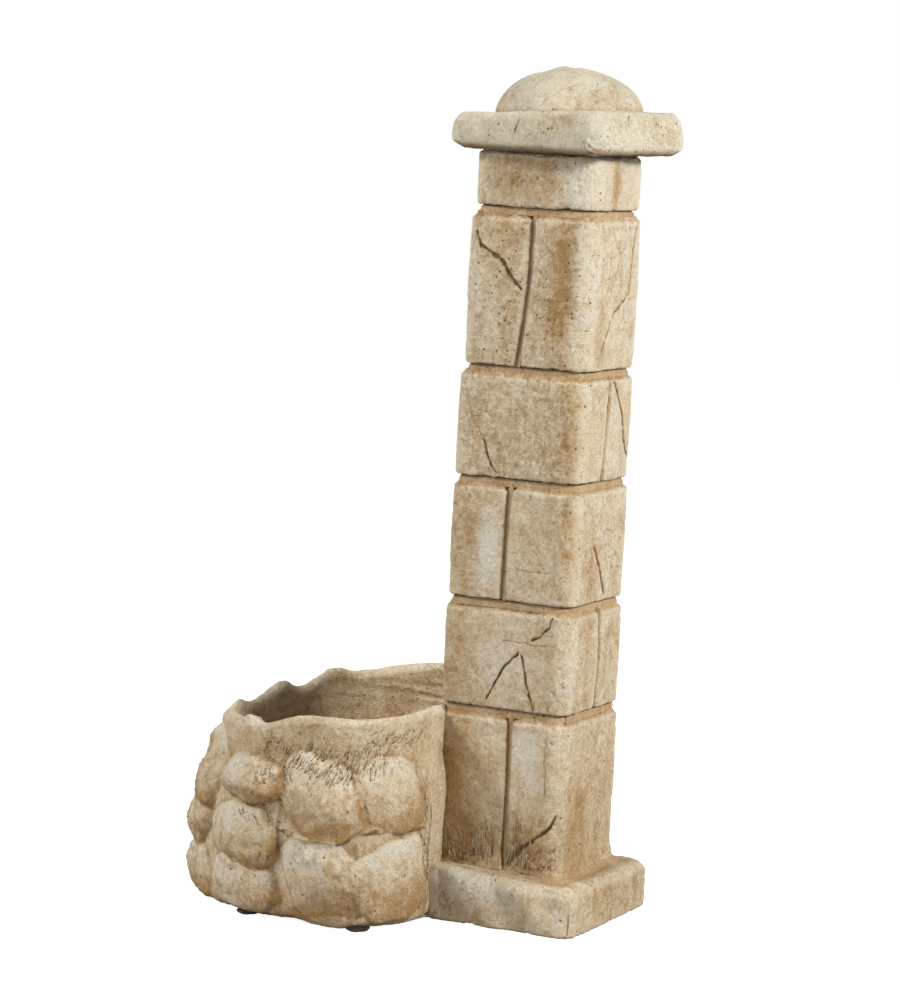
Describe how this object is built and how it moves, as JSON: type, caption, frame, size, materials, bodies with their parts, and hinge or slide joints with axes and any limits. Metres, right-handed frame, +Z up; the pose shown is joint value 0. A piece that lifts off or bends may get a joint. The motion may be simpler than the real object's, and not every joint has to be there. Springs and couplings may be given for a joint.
{
  "type": "garden fountain",
  "caption": "Free-standing cast-stone garden fountain: a jointed square column with an undercut cap slab and low dome, on a plinth, with a round rock-faced basin in front.",
  "frame": {"origin": "on the ground, under the middle of the column", "axes": "+Z up; the basin is in front, towards -Y; +X is to the right for a person who faces the basin from the front, looking along +Y"},
  "size_m": [0.5492, 0.5806, 1.0987],
  "materials": {
    "cast_stone": "matte",
    "rock_face": "matte",
    "recessed_mortar": "matte",
    "pale_mortar": "matte"
  },
  "bodies": {
    "root": {"basin_dab_left_front": "recessed_mortar", "basin_dab_left_rear": "recessed_mortar", "basin_dab_right_front": "recessed_mortar", "basin_dab_right_rear": "recessed_mortar", "basin_floor": "rock_face", "basin_wall_front": "rock_face", "basin_wall_left": "rock_face", "basin_wall_left_back": "rock_face", "basin_wall_left_end": "rock_face", "basin_wall_left_front": "rock_face", "basin_wall_left_rear": "rock_face", "basin_wall_right": "rock_face", "basin_wall_right_back": "rock_face", "basin_wall_right_end": "rock_face", "basin_wall_right_front": "rock_face", "basin_wall_right_rear": "rock_face", "bed_1": "recessed_mortar", "bed_2": "recessed_mortar", "bed_3": "recessed_mortar", "bed_4": "recessed_mortar", "bed_5": "recessed_mortar", "bed_6": "recessed_mortar", "cap_dome": "cast_stone", "cap_pad": "pale_mortar", "cap_slab": "cast_stone", "course_1_front": "cast_stone", "course_1_joint": "recessed_mortar", "course_1_rear": "cast_stone", "course_2_joint": "recessed_mortar", "course_2_left": "cast_stone", "course_2_right": "cast_stone", "course_3_front": "cast_stone", "course_3_joint": "recessed_mortar", "course_3_rear": "cast_stone", "course_4_joint": "recessed_mortar", "course_4_left": "cast_stone", "course_4_right": "cast_stone", "course_5_front": "cast_stone", "course_5_joint": "recessed_mortar", "course_5_rear": "cast_stone", "course_6_block": "cast_stone", "plinth": "cast_stone"}
  },
  "joints": []
}
